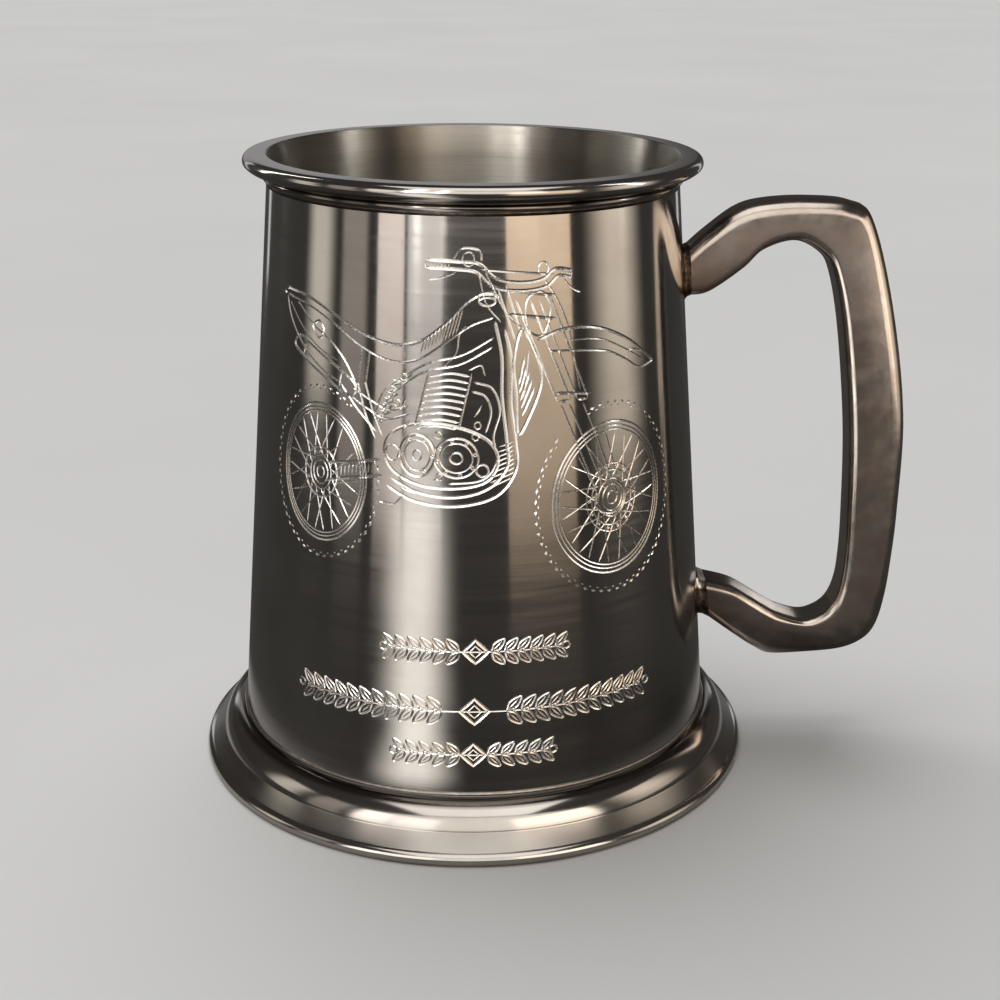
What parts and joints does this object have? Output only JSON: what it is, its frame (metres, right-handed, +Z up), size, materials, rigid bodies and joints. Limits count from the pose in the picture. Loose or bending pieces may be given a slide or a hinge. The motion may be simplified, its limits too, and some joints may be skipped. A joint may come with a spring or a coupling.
{
  "type": "tankard",
  "caption": "Pewter tankard with a tapered drum, flat-topped rim, flared hollow foot and an angular cast handle.",
  "frame": {"origin": "on the cup's axis, in the plane that the foot rests on", "axes": "+Z up along the cup's axis, +X towards the handle, +Y across it, so the engraved side faces -Y"},
  "size_m": [0.1412, 0.1108, 0.12],
  "materials": {
    "polished_pewter": "polished pewter, lightly worn",
    "cast_pewter": "satin cast pewter",
    "solder": "dull solder, heat stained"
  },
  "bodies": {
    "root": {"drum": "polished_pewter", "rim_ring": "polished_pewter", "floor_disc": "polished_pewter", "foot": "polished_pewter", "handle": "cast_pewter", "handle_upper_solder": "solder", "handle_lower_solder": "solder", "rim_solder": "solder", "foot_solder": "solder", "floor_solder": "solder"}
  },
  "joints": []
}
